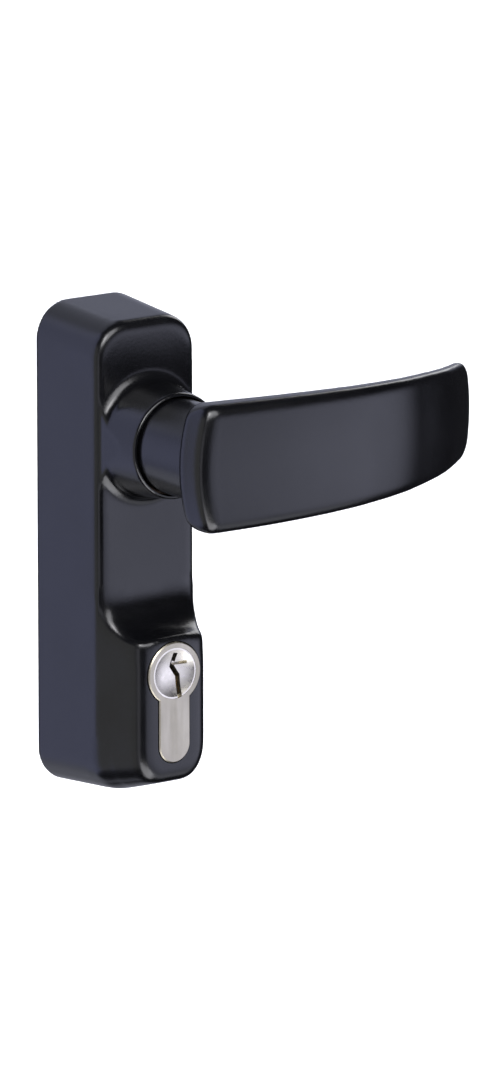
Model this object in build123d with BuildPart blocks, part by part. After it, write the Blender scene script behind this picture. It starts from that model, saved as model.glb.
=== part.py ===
"""Outside lever lock for a fire exit door: cast housing, lever handle and key cylinder.

Millimetres. The origin is on the door face, on the axis of the lever. +X points along
the lever, +Y into the door and +Z up, so a depth in front of the door is a distance
along -Y, and every cross-section lies on a plane parallel to the door at some depth.
"""
from build123d import *
from math import asin, cos, degrees, pi, radians, sin
import os

os.makedirs("parts", exist_ok=True)

# Housing: a drafted case with a deeper block for the key cylinder at its lower end.
case_half_width_back = 17.3
case_half_width_front = 16.0
case_top_back = 34.3
case_top_front = 32.0
case_foot = 11.0
case_foot_draft = 2.0
case_depth = 27.0
case_corner = 10.0
case_wall = 2.5
case_front_round = 1.8
block_half_width = 10.5
block_foot_draft = 4.0
block_height = 11.9
block_corner = 8.75
scoop_radius = 9.6
scoop_start = 42.4

# Boss that carries the lever.
boss_height = 14.0
boss_root_radius = 15.5
boss_rim_radius = 14.3
boss_flare_radius = 3.3
boss_rim_round = 0.37
boss_side_setback = 0.5
neck_mouth_gap = 0.6
bush_seat_lip = 2.0
bush_seat_rise = 0.8

# Clearances.
running_gap = 0.05
seat_gap = 0.05
free_gap = 0.3

# Lever handle: a curved paddle on a round neck, with a journal and a square tenon behind.
neck_radius = 12.9
neck_shoulder_sink = 2.3
neck_root_fillet = 2.0
journal_radius = 9.5
tenon_across_flats = 13.0
tenon_corner_radius = 8.6
tenon_back = 0.6
paddle_left = 16.1
paddle_left_rise = 29.7
paddle_left_slope = 4.7
paddle_crest_x = 24.0
paddle_crest_rise = 1.4
paddle_bend_x = 63.0
paddle_bend_fall = 6.0
paddle_tip_x = 94.5
paddle_tip_fall = 26.6
paddle_tip_slope = 47.0
paddle_left_thickness = 9.0
paddle_tip_thickness = 3.2
paddle_left_half_height = 17.1
paddle_middle_half_height = 15.5
paddle_tip_half_height = 12.2
paddle_left_arch = 3.4
paddle_tip_arch = 1.6
paddle_left_corner = 4.0
paddle_tip_corner = 5.5
paddle_edge_round = 1.2

# Hub, spindle and return spring behind the lever.
hub_sleeve_radius = 10.0
hub_flange_radius = 11.0
hub_flange_back = 2.6
hub_flange_thickness = 3.0
hub_lug_radius = 14.2
lock_lug_angle = 195.0
stop_lug_angle = 60.0
spring_lug_angle = 292.0
lock_lug_span_angle = 16.0
stop_lug_span_angle = 20.0
spring_lug_span_angle = 16.0
lever_travel_angle = 45.0
washer_radius = 13.0
washer_thickness = 0.8
spindle_size = 8.0
spindle_clearance = 0.1
spindle_socket_front = 12.6
cross_pin_radius = 1.5
cross_pin_depth = 15.0
hub_clip_thickness = 1.2
hub_clip_radius = 9.4
hub_clip_groove_radius = 7.6
hub_clip_back = 1.0
clip_opening = 5.0
spring_wire_radius = 0.7
spring_coil_radius = 11.2
spring_full_turns = 2
spring_back = 8.2
spring_front = 19.6
spring_foot_depth = 3.0
spring_bend_radius = 1.5
spring_leg_angle = 76.06
spring_leg_length = 22.0

# Back plate and what it carries.
plate_thickness = 2.0
plate_edge_gap = 0.2
plate_hub_hole_radius = 10.0
pillar_offset = 22.0
pillar_radius = 5.0
pillar_front = 22.0
pillar_spigot_radius = 3.4
pillar_thread_radius = 2.1
pillar_thread_depth = 18.0
post_radius = 3.5
post_x = 10.0
post_top = 24.6
post_middle = -40.0
post_foot = 4.0
screw_thread_radius = 1.9
screw_thread_end = 9.0
screw_head_radius = 3.3
screw_sink = 0.1
screw_recess_length = 3.8
screw_recess_width = 0.9
screw_recess_depth = 1.1
stop_pin_radius = 1.8
stop_pin_orbit = 13.2
stop_pin_front = 6.2
stop_pin_gap = 0.35

# Key cylinder: half length, standard euro outline.
cylinder_drop = 62.1
cylinder_face_rise = 0.5
cylinder_back = 0.2
cylinder_face_chamfer = 0.3
euro_head_radius = 8.5
euro_tail_width = 10.0
euro_height = 33.0
cylinder_slot_gap = 0.25
cam_gap_front = 14.5
cam_gap_back = 4.5
bridge_top = 15.3
plug_radius = 6.45
plug_flange_radius = 6.9
plug_flange_thickness = 1.1
plug_face_dish = 1.2
plug_back = 12.8
plug_tail_radius = 4.6
plug_tail_half_flat = 3.6
plug_clip_thickness = 0.7
plug_clip_radius = 7.8
plug_clip_groove_radius = 5.7
plug_clip_back = 13.65
plug_dish_radius = 18.0
plug_face_sink = 0.1
plug_tail_end = 0.6
keyway_back = 15.0
keyway_width = 1.4
keyway_top_shift = 0.5
keyway_top = 5.5
keyway_upper_shift = -0.3
keyway_upper_bend = 1.9
keyway_lower_shift = 1.6
keyway_lower_bend = 0.9
keyway_foot = 7.4
keyway_arm_reach = 4.3
keyway_arm_rise = 2.5
keyway_arm_width = 0.9
keyway_arm_depth = 2.4
pin_count = 5
pin_pitch = 4.0
pin_first = 5.5
pin_radius = 1.42
chamber_radius = 1.5
key_pin_length = 4.5
key_pin_sink = 0.15
pin_chamfer = 0.35
pin_spring_wall = 0.35
driver_length = 5.2
chamber_plug_length = 3.0
cylinder_screw_drop = 19.6
cylinder_screw_radius = 2.4
cylinder_screw_head_radius = 4.2
cylinder_screw_head_height = 2.4
cylinder_screw_depth = 9.5
cylinder_screw_recess = 2.0
cylinder_tab_front = 16.0
cylinder_tab_height = 8.5
cylinder_tab_corner = 2.0

# Cam and locking slide.
cam_hub_radius = 8.0
cam_tip_orbit = 10.5
cam_tip_radius = 3.25
cam_start_angle = 225.0
cam_side_gap = 0.3
slide_thickness = 1.8
slide_plate_gap = 0.4
slide_wall_gap = 0.85
slide_neck_right = 9.0
slide_tongue_left = 11.3
slide_tongue_right = 6.45
slide_tongue_top = -26.5
slide_shoulder = -42.0
slide_waist = -51.0
slide_jaw_gap = 0.45
slide_jaw_height = 3.0
slide_jaw_front = 11.5
guide_thickness = 1.2
guide_bottom = -46.0
guide_top = -36.0
guide_right = 3.6
guide_side_gap = 0.5
guide_arm_sink = 0.15
guide_rivet_pitch = 5.0
guide_rivet_radius = 1.25
guide_rivet_head_radius = 2.2
guide_rivet_head_height = 0.9

# Heights that follow from the cylinder, so that the case always reaches round it.
cylinder_tail = cylinder_drop + euro_height - euro_head_radius
case_bottom_back = cylinder_tail + case_foot
case_bottom_front = case_bottom_back - case_foot_draft
block_bottom = case_bottom_front - block_foot_draft
post_bottom = -(cylinder_tail + post_foot)

# Depths that follow from the case, so that the lever, hub and cylinder move with it.
case_inner_face = case_depth - case_wall
boss_depth = case_depth + boss_height
block_depth = case_depth + block_height
bush_seat_depth = case_depth + bush_seat_rise
neck_shoulder_depth = boss_depth - neck_shoulder_sink
washer_front = case_inner_face - free_gap
hub_front = washer_front - washer_thickness - free_gap
journal_back = hub_front + 2 * seat_gap
paddle_left_depth = boss_depth + paddle_left_rise
cylinder_face_depth = block_depth + cylinder_face_rise

# Widths that follow from the case, so that the slide and its guide stay inside it.
slide_left = case_half_width_back - case_wall - slide_wall_gap
guide_arm_end = slide_left - guide_arm_sink


def door_plane(depth):
    """A plane parallel to the door, at a depth in front of it, facing outwards."""
    return Plane.XZ.offset(depth)


def at_clock(angle, radius, drop=0.0):
    """A point at an angle measured clockwise from the top, seen from the front."""
    return (radius * sin(radians(angle)), radius * cos(radians(angle)) - drop)


def case_section(depth, wall):
    """Half width, top and bottom of the drafted case at a depth."""
    share = depth / case_depth
    half_width = case_half_width_back + (case_half_width_front - case_half_width_back) * share
    top = case_top_back + (case_top_front - case_top_back) * share
    bottom = case_bottom_back + (case_bottom_front - case_bottom_back) * share
    return half_width - wall, top - wall, -(bottom - wall)


def case_form(wall, back=0.0, front=case_depth):
    """The drafted case as a plain solid, drawn in by a wall."""
    with BuildPart() as form:
        for depth in (back, front):
            half_width, top, bottom = case_section(depth, wall)
            with BuildSketch(door_plane(depth)):
                with Locations((0, (top + bottom) / 2)):
                    RectangleRounded(2 * half_width, top - bottom, case_corner - wall)
        loft(ruled=True)
    return form.part


def block_form(wall):
    """The deeper block for the cylinder, before its scooped top is cut."""
    base = (case_depth - wall, *case_section(case_depth, wall)[::2], case_corner - wall)
    face = (block_depth - wall, block_half_width - wall, -(block_bottom - wall), block_corner - wall)
    with BuildPart() as form:
        for depth, half_width, bottom, corner in (base, face):
            with BuildSketch(door_plane(depth)) as section:
                with Locations((0, (bottom - scoop_start + wall) / 2)):
                    Rectangle(2 * half_width, -(bottom + scoop_start - wall))
                fillet(section.vertices().sort_by(Axis.Y)[:2], corner)
        loft(ruled=True)
    return form.part


def scoop_form(wall):
    """The space above the block: a hollow sweep from the case's front to the block's face."""
    start = -scoop_start - wall
    face = case_depth - wall
    clear = block_depth + scoop_radius
    with BuildPart() as form:
        with BuildSketch(Plane.YZ):
            with BuildLine():
                foot = (-face - scoop_radius, start - scoop_radius)
                RadiusArc((-face, start), foot, scoop_radius)
                Polyline(foot, (-clear, foot[1]), (-clear, scoop_radius), (-face, scoop_radius), (-face, start))
            make_face()
        extrude(amount=case_half_width_back, both=True)
    return form.part


def euro_outline(gap=0.0):
    """The euro cylinder's outline: a round head over a narrow round-ended tail."""
    tail_end = euro_height - euro_head_radius - euro_tail_width / 2
    with Locations((0, -cylinder_drop)):
        Circle(euro_head_radius + gap)
    with Locations((0, -cylinder_drop - tail_end / 2)):
        Rectangle(euro_tail_width + 2 * gap, tail_end)
    with Locations((0, -cylinder_drop - tail_end)):
        Circle(euro_tail_width / 2 + gap)


def lug_sector(angle, width, inner, outer):
    """A sector of a ring, centred on a clock angle."""
    first = at_clock(angle - width / 2, inner), at_clock(angle - width / 2, outer)
    last = at_clock(angle + width / 2, inner), at_clock(angle + width / 2, outer)
    with BuildLine() as outline:
        Line(*first)
        ThreePointArc(first[1], at_clock(angle, outer), last[1])
        Line(last[1], last[0])
        ThreePointArc(last[0], at_clock(angle, inner), first[0])
    make_face(outline.edges())


screw_places = ((-post_x, post_top), (post_x, post_top), (post_x, post_middle), (0, post_bottom))
chamber_depths = [cylinder_face_depth - pin_first - pin_pitch * k for k in range(pin_count)]
neck_bore_radius = neck_radius + neck_mouth_gap

# The housing is one casting: case, block and flared boss, hollow from behind, with
# screw posts inside and a cut-out in the block for the key cylinder.
with BuildPart() as housing:
    add(case_form(0))
    front_edges = housing.faces().sort_by(Axis.Y)[0].edges()
    fillet(front_edges, case_front_round)
    with BuildPart(mode=Mode.PRIVATE) as block:
        add(case_form(0))
        add(block_form(0))
        face_edges = block.faces().sort_by(Axis.Y)[0].edges()
        fillet(face_edges.sort_by(Axis.Z)[:-1], case_front_round)
        add(scoop_form(0), mode=Mode.SUBTRACT)
        split(bisect_by=Plane.XY.offset(-scoop_start), keep=Keep.BOTTOM)
    add(block.part)

    # The flare of the boss is trimmed where it would pass the sides of the case.
    with BuildPart(mode=Mode.PRIVATE) as boss:
        with BuildSketch(Plane.XY):
            flare_outer = boss_root_radius + boss_flare_radius
            with BuildLine():
                flare = RadiusArc(
                    (flare_outer, -case_depth),
                    (boss_root_radius, -case_depth - boss_flare_radius),
                    boss_flare_radius)
                Polyline(
                    flare @ 1,
                    (boss_rim_radius, -boss_depth),
                    (neck_bore_radius, -boss_depth),
                    (neck_bore_radius, -case_inner_face),
                    (flare_outer, -case_inner_face),
                    flare @ 0)
            boss_profile = make_face()
            rim = [v for v in boss_profile.vertices() if abs(v.Y + boss_depth) < free_gap]
            fillet(rim, boss_rim_round)
        revolve(axis=Axis.Y)
        add(case_form(boss_side_setback, case_inner_face - case_wall, boss_depth + case_wall), mode=Mode.INTERSECT)
    add(boss.part)

    # Inside, from behind.
    with BuildPart(mode=Mode.PRIVATE) as cavity:
        add(case_form(case_wall, 0, case_inner_face))
        add(block_form(case_wall))
        add(scoop_form(case_wall), mode=Mode.SUBTRACT)
    add(cavity.part, mode=Mode.SUBTRACT)

    # Three screw posts stand on the inside of the front wall, one on the bottom wall.
    with BuildSketch(door_plane(plate_thickness)):
        with Locations(*screw_places):
            Circle(post_radius)
    extrude(amount=case_inner_face + case_wall / 2 - plate_thickness)
    with BuildSketch(door_plane(plate_thickness)):
        with Locations(*screw_places):
            Circle(screw_thread_radius + seat_gap)
    extrude(amount=screw_thread_end - plate_thickness + free_gap, mode=Mode.SUBTRACT)

    # Bore for the bush, a smaller hole for the journal, and the cylinder's cut-out.
    with BuildSketch(door_plane(bush_seat_depth)):
        Circle(neck_bore_radius)
    extrude(amount=boss_depth, mode=Mode.SUBTRACT)
    with BuildSketch(door_plane(case_inner_face - free_gap)):
        Circle(neck_bore_radius - bush_seat_lip)
    extrude(amount=boss_depth, mode=Mode.SUBTRACT)
    with BuildSketch(door_plane(cam_gap_back)):
        euro_outline(cylinder_slot_gap)
    extrude(amount=block_depth, mode=Mode.SUBTRACT)
housing.part.label = "housing"
export_step(housing.part, "parts/housing.step")

# The bush is a plain sleeve, dropped in from the front and trapped by the lever's neck.
bush_radius = neck_bore_radius - seat_gap
with BuildPart() as bearing_bush:
    with BuildSketch(door_plane(bush_seat_depth + seat_gap)):
        Circle(bush_radius)
        Circle(journal_radius + running_gap, mode=Mode.SUBTRACT)
    extrude(amount=neck_shoulder_depth - free_gap - bush_seat_depth - seat_gap)
bearing_bush.part.label = "bearing_bush"
export_step(bearing_bush.part, "parts/bearing_bush.step")


def tenon_outline(gap=0.0):
    """A square with its corners turned down to a round."""
    Rectangle(tenon_across_flats + 2 * gap, tenon_across_flats + 2 * gap)
    Circle(tenon_corner_radius + gap, mode=Mode.INTERSECT)


# The lever handle is one casting. Its paddle is the overlap of a curved plan outline,
# thinner towards the tip, and a front outline, lower towards the tip.
with BuildPart() as lever_handle:
    with BuildSketch(Plane.XY.offset(-paddle_left_half_height)):
        with BuildLine():
            left_slope, tip_slope = radians(paddle_left_slope), radians(paddle_tip_slope)
            end_lean = paddle_left_thickness * sin(left_slope) + seat_gap
            front = Spline(
                (-paddle_left - end_lean, -paddle_left_depth),
                (paddle_crest_x, -paddle_left_depth - paddle_crest_rise),
                (paddle_bend_x, -paddle_left_depth + paddle_bend_fall),
                (paddle_tip_x, -paddle_left_depth + paddle_tip_fall),
                tangents=[(cos(left_slope), -sin(left_slope)), (cos(tip_slope), sin(tip_slope))])
            thinning = paddle_left_thickness - paddle_tip_thickness
            back_points = [
                front @ t + (front % t).rotate(Axis.Z, 90) * (paddle_left_thickness - thinning * t)
                for t in (0.0, 0.3, 0.6, 1.0)]
            back = Spline(*back_points)
            Line(front @ 0, back @ 0)
            Line(front @ 1, back @ 1)
        make_face()
    extrude(amount=2 * paddle_left_half_height)
    with BuildSketch(door_plane(neck_shoulder_depth)):
        with BuildLine():
            upper = ThreePointArc(
                (-paddle_left + paddle_left_arch, paddle_left_half_height),
                ((paddle_tip_x - paddle_left) / 2, paddle_middle_half_height),
                (paddle_tip_x + free_gap, paddle_tip_half_height))
            mirror(upper, about=Plane.XZ)
            ThreePointArc(upper @ 0, (-paddle_left, 0), ((upper @ 0).X, -(upper @ 0).Y))
            Line(upper @ 1, ((upper @ 1).X, -(upper @ 1).Y))
        make_face()
    extrude(amount=paddle_left_depth, mode=Mode.INTERSECT)
    for radius, side in ((paddle_left_corner, 0), (paddle_tip_corner, -1)):
        corner_edges = lever_handle.edges().filter_by(
            lambda e: abs(e.center().Z) > paddle_tip_half_height - free_gap and e.length < 2 * paddle_left_thickness)
        fillet(corner_edges.group_by(Axis.X)[side], radius)
    broad_faces = lever_handle.faces().sort_by(SortBy.AREA)[-2:]
    fillet(broad_faces.edges(), paddle_edge_round)

    # The neck runs from its shoulder inside the boss to the back of the paddle.
    with BuildSketch(door_plane(neck_shoulder_depth)):
        Circle(neck_radius)
    extrude(amount=paddle_left_depth - paddle_left_thickness / 2 - neck_shoulder_depth)
    neck_root = lever_handle.edges().filter_by(
        lambda e: abs(e.length - 2 * pi * neck_radius) < neck_root_fillet and e.center().Y < -boss_depth - paddle_left_thickness)
    fillet(neck_root, neck_root_fillet)
    fillet(lever_handle.faces().sort_by(Axis.Y)[-1].edges(), neck_mouth_gap)

    # Behind the neck come the journal, the square tenon and its clip groove.
    with BuildSketch(door_plane(journal_back)):
        Circle(journal_radius)
    extrude(amount=neck_shoulder_depth - journal_back)
    with BuildSketch(door_plane(tenon_back)):
        tenon_outline()
    extrude(amount=journal_back - tenon_back)
    with BuildSketch(door_plane(hub_clip_back - seat_gap)):
        Circle(tenon_corner_radius + seat_gap)
        Circle(hub_clip_groove_radius, mode=Mode.SUBTRACT)
    extrude(amount=hub_clip_thickness + 2 * seat_gap, mode=Mode.SUBTRACT)

    # A square socket takes the spindle from the door's other side, and a cross hole in
    # front of it takes the hub's pin.
    with BuildSketch(door_plane(0)):
        Rectangle(spindle_size + 2 * spindle_clearance, spindle_size + 2 * spindle_clearance)
    extrude(amount=spindle_socket_front, mode=Mode.SUBTRACT)
    with BuildSketch(Plane.YZ):
        with Locations((-cross_pin_depth, 0)):
            Circle(cross_pin_radius + seat_gap)
    extrude(amount=journal_radius, both=True, mode=Mode.SUBTRACT)
lever_handle.part.label = "lever_handle"
export_step(lever_handle.part, "parts/lever_handle.step")

# The thrust washer keeps the hub off the inside of the case.
with BuildPart() as thrust_washer:
    with BuildSketch(door_plane(washer_front - washer_thickness)):
        Circle(washer_radius)
        Circle(journal_radius + 2 * running_gap, mode=Mode.SUBTRACT)
    extrude(amount=washer_thickness)
thrust_washer.part.label = "thrust_washer"
export_step(thrust_washer.part, "parts/thrust_washer.step")

# The hub is a flanged sleeve on the tenon. Its flange has three lugs: one for the
# locking slide, one that runs between the stop pins and one holed for the spring.
hub_flange_front = hub_flange_back + hub_flange_thickness
hub_lugs = (
    (lock_lug_angle, lock_lug_span_angle),
    (stop_lug_angle, stop_lug_span_angle),
    (spring_lug_angle, spring_lug_span_angle))
with BuildPart() as drive_hub:
    with BuildSketch(door_plane(hub_flange_back)):
        Circle(hub_flange_radius)
        for angle, width in hub_lugs:
            lug_sector(angle, width, hub_sleeve_radius, hub_lug_radius)
        with Locations(at_clock(spring_lug_angle, spring_coil_radius)):
            Circle(spring_wire_radius + 2 * seat_gap, mode=Mode.SUBTRACT)
    extrude(amount=hub_flange_thickness)
    with BuildSketch(door_plane(hub_flange_front)):
        Circle(hub_sleeve_radius)
    extrude(amount=hub_front - hub_flange_front)
    with BuildSketch(door_plane(hub_flange_back)):
        tenon_outline(seat_gap)
    extrude(amount=hub_front, mode=Mode.SUBTRACT)
    with BuildSketch(Plane.YZ):
        with Locations((-cross_pin_depth, 0)):
            Circle(cross_pin_radius + seat_gap)
    extrude(amount=hub_sleeve_radius, both=True, mode=Mode.SUBTRACT)
drive_hub.part.label = "drive_hub"
export_step(drive_hub.part, "parts/drive_hub.step")


def clip_ring(inner, outer, opening, drop=0.0):
    """A retaining ring with an opening at its foot."""
    with Locations((0, -drop)):
        Circle(outer)
        Circle(inner, mode=Mode.SUBTRACT)
    with Locations((0, -drop - outer)):
        Rectangle(opening, outer, mode=Mode.SUBTRACT)


# A retaining ring in the tenon's groove holds the hub, and a cross pin ties hub and tenon.
with BuildPart() as hub_circlip:
    with BuildSketch(door_plane(hub_clip_back)):
        clip_ring(hub_clip_groove_radius + seat_gap, hub_clip_radius, clip_opening)
    extrude(amount=hub_clip_thickness)
hub_circlip.part.label = "hub_circlip"
export_step(hub_circlip.part, "parts/hub_circlip.step")

with BuildPart() as cross_pin:
    with BuildSketch(Plane.YZ):
        with Locations((-cross_pin_depth, 0)):
            Circle(cross_pin_radius)
    extrude(amount=hub_sleeve_radius - 2 * seat_gap, both=True)
cross_pin.part.label = "cross_pin"
export_step(cross_pin.part, "parts/cross_pin.step")

# The return spring is one wire: its foot stands in the hub's holed lug, its coil runs
# round the sleeve and its leg ends between the upper pillar and a screw post.
spring_points = []
bend_reach = degrees(spring_bend_radius / spring_coil_radius)
coil_start = spring_lug_angle - bend_reach
coil_sweep = coil_start - spring_leg_angle + 360 * spring_full_turns
spring_points.append((spring_lug_angle, spring_foot_depth))
spring_points.append((spring_lug_angle, (spring_foot_depth + spring_back - spring_bend_radius) / 2))
for share in range(4):
    turn = radians(90 * share / 3)
    spring_points.append((
        spring_lug_angle - bend_reach * (1 - cos(turn)),
        spring_back - spring_bend_radius * (1 - sin(turn))))
coil_steps = round(coil_sweep / 30)
for step in range(1, coil_steps + 1):
    share = step / coil_steps
    spring_points.append((
        coil_start - coil_sweep * share,
        spring_back + (spring_front - spring_back) * share))
spring_points = [
    Vector(point[0], -depth, point[1])
    for point, depth in [(at_clock(angle, spring_coil_radius), depth) for angle, depth in spring_points]]
leg_slope = radians(spring_leg_angle)
leg_heading = Vector(-cos(leg_slope), 0, sin(leg_slope))
leg_root = spring_points[-1]
spring_points += [leg_root + leg_heading * (spring_leg_length * share) for share in (0.1, 0.4, 1.0)]
with BuildPart() as return_spring:
    with BuildLine() as spring_path:
        Spline(*spring_points, tangents=[(0, -1, 0), leg_heading])
    with BuildSketch(Plane(spring_path.line @ 0, z_dir=spring_path.line % 0)):
        Circle(spring_wire_radius)
    sweep()
return_spring.part.label = "return_spring"
export_step(return_spring.part, "parts/return_spring.step")

# Places of the stop pins, clear of the stop lug at both ends of the lever's travel.
pin_clearance = degrees(asin((stop_pin_radius + stop_pin_gap) / stop_pin_orbit))
stop_pin_places = (
    at_clock(stop_lug_angle - stop_lug_span_angle / 2 - pin_clearance, stop_pin_orbit),
    at_clock(stop_lug_angle + stop_lug_span_angle / 2 + lever_travel_angle + pin_clearance, stop_pin_orbit))
pillar_places = ((0, pillar_offset), (0, -pillar_offset))
guide_left = -(slide_tongue_right - guide_side_gap)
guide_middle = (guide_left + guide_thickness + guide_right) / 2
guide_height = guide_top - guide_bottom
guide_centre = (guide_top + guide_bottom) / 2
rivet_places = (
    (guide_middle, guide_centre + guide_rivet_pitch / 2),
    (guide_middle, guide_centre - guide_rivet_pitch / 2))
tab_left = euro_tail_width / 2 + free_gap

# The back plate closes the case. It is open for the hub's end and the cylinder, and a
# tab folded forward beside the cylinder takes the cylinder's screw.
with BuildPart() as back_plate:
    half_width, top, bottom = case_section(plate_thickness, case_wall + plate_edge_gap)
    with BuildSketch(door_plane(0)):
        with Locations((0, (top + bottom) / 2)):
            RectangleRounded(2 * half_width, top - bottom, case_corner - case_wall - plate_edge_gap)
        Circle(plate_hub_hole_radius, mode=Mode.SUBTRACT)
        with Locations(*pillar_places):
            Circle(pillar_spigot_radius + seat_gap, mode=Mode.SUBTRACT)
        with Locations(*stop_pin_places):
            Circle(stop_pin_radius + seat_gap, mode=Mode.SUBTRACT)
        with Locations(*rivet_places):
            Circle(guide_rivet_radius + seat_gap, mode=Mode.SUBTRACT)
        with Locations(*screw_places):
            Circle(screw_thread_radius + seat_gap, mode=Mode.SUBTRACT)
    extrude(amount=plate_thickness)
    with BuildSketch(door_plane(0)):
        euro_outline(free_gap)
    extrude(amount=plate_thickness, mode=Mode.SUBTRACT)
    with BuildSketch(door_plane(0)):
        with Locations(*screw_places):
            Circle(screw_head_radius + screw_sink + seat_gap)
    extrude(amount=screw_head_radius + screw_sink - screw_thread_radius, taper=45, mode=Mode.SUBTRACT)
    with BuildSketch(Plane.YZ.offset(tab_left)) as tab:
        with Locations((-cylinder_tab_front / 2, -cylinder_drop - cylinder_screw_drop)):
            Rectangle(cylinder_tab_front, cylinder_tab_height)
        fillet(tab.vertices().sort_by(Axis.X)[:2], cylinder_tab_corner)
        with Locations((-cylinder_screw_depth, -cylinder_drop - cylinder_screw_drop)):
            Circle(cylinder_screw_radius + free_gap, mode=Mode.SUBTRACT)
    extrude(amount=plate_thickness)
back_plate.part.label = "back_plate"
export_step(back_plate.part, "parts/back_plate.step")

# Two tapped pillars, riveted into the plate, take the bolts that come through the door.
with BuildPart() as fixing_pillars:
    with BuildSketch(door_plane(0)):
        with Locations(*pillar_places):
            Circle(pillar_spigot_radius)
    extrude(amount=plate_thickness)
    with BuildSketch(door_plane(plate_thickness)):
        with Locations(*pillar_places):
            Circle(pillar_radius)
    extrude(amount=pillar_front - plate_thickness)
    with BuildSketch(door_plane(0)):
        with Locations(*pillar_places):
            Circle(pillar_thread_radius)
    extrude(amount=pillar_thread_depth, mode=Mode.SUBTRACT)
fixing_pillars.part.label = "fixing_pillars"
export_step(fixing_pillars.part, "parts/fixing_pillars.step")

# Four countersunk screws hold the plate to the posts of the casting.
with BuildPart() as plate_screws:
    with BuildSketch(door_plane(screw_sink)):
        with Locations(*screw_places):
            Circle(screw_head_radius)
    extrude(amount=screw_head_radius - screw_thread_radius, taper=45)
    with BuildSketch(door_plane(screw_sink)):
        with Locations(*screw_places):
            Circle(screw_thread_radius)
    extrude(amount=screw_thread_end - screw_sink)
    with BuildSketch(door_plane(screw_sink)):
        with Locations(*screw_places):
            Rectangle(screw_recess_length, screw_recess_width)
            Rectangle(screw_recess_width, screw_recess_length)
    extrude(amount=screw_recess_depth, mode=Mode.SUBTRACT)
plate_screws.part.label = "plate_screws"
export_step(plate_screws.part, "parts/plate_screws.step")

# Two pins in the plate stop the lever at rest and at the end of its travel.
with BuildPart() as stop_pins:
    with BuildSketch(door_plane(0)):
        with Locations(*stop_pin_places):
            Circle(stop_pin_radius)
    extrude(amount=stop_pin_front)
stop_pins.part.label = "stop_pins"
export_step(stop_pins.part, "parts/stop_pins.step")

# The locking slide is a flat stem with a tongue above and two jaws folded forward below.
slide_back = plate_thickness + slide_plate_gap
slide_front = slide_back + slide_thickness
finger_rest = at_clock(cam_start_angle, cam_tip_orbit, cylinder_drop)[1]
jaw_reach = cam_tip_radius + slide_jaw_gap
jaw_outer = jaw_reach + slide_jaw_height
with BuildPart() as locking_slide:
    with BuildSketch(door_plane(slide_back)):
        with BuildLine():
            Polyline(
                (-slide_left, finger_rest - jaw_outer),
                (-slide_neck_right, finger_rest - jaw_outer),
                (-slide_neck_right, slide_waist),
                (-slide_tongue_right, slide_waist),
                (-slide_tongue_right, slide_tongue_top),
                (-slide_tongue_left, slide_tongue_top),
                (-slide_tongue_left, slide_shoulder),
                (-slide_left, slide_shoulder),
                close=True)
        make_face()
    extrude(amount=slide_thickness)
    with BuildSketch(door_plane(slide_front)):
        for side in (1, -1):
            with Locations((-(slide_left + slide_neck_right) / 2, finger_rest + side * (jaw_outer + jaw_reach) / 2)):
                Rectangle(slide_left - slide_neck_right, slide_jaw_height)
    extrude(amount=slide_jaw_front - slide_front)
locking_slide.part.label = "locking_slide"
export_step(locking_slide.part, "parts/locking_slide.step")

# The guide is a bent strip riveted to the plate; its arm keeps the slide against the plate.
guide_arm_back = slide_front + free_gap
with BuildPart() as slide_guide:
    with BuildSketch(Plane.XY.offset(guide_bottom)):
        with BuildLine():
            Polyline(
                (guide_right, -plate_thickness),
                (guide_right, -plate_thickness - guide_thickness),
                (guide_left + guide_thickness, -plate_thickness - guide_thickness),
                (guide_left + guide_thickness, -guide_arm_back - guide_thickness),
                (-guide_arm_end, -guide_arm_back - guide_thickness),
                (-guide_arm_end, -guide_arm_back),
                (guide_left, -guide_arm_back),
                (guide_left, -plate_thickness),
                close=True)
        make_face()
    extrude(amount=guide_height)
    with BuildSketch(door_plane(plate_thickness)):
        with Locations(*rivet_places):
            Circle(guide_rivet_radius + seat_gap)
    extrude(amount=guide_thickness, mode=Mode.SUBTRACT)
slide_guide.part.label = "slide_guide"
export_step(slide_guide.part, "parts/slide_guide.step")

with BuildPart() as guide_rivets:
    with BuildSketch(door_plane(0)):
        with Locations(*rivet_places):
            Circle(guide_rivet_radius)
    extrude(amount=plate_thickness + guide_thickness)
    with BuildSketch(door_plane(plate_thickness + guide_thickness)):
        with Locations(*rivet_places):
            Circle(guide_rivet_head_radius)
    extrude(amount=guide_rivet_head_height)
    head_rims = guide_rivets.faces().sort_by(Axis.Y)[:2].edges()
    fillet(head_rims, guide_rivet_head_height / 2)
guide_rivets.part.label = "guide_rivets"
export_step(guide_rivets.part, "parts/guide_rivets.step")

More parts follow.
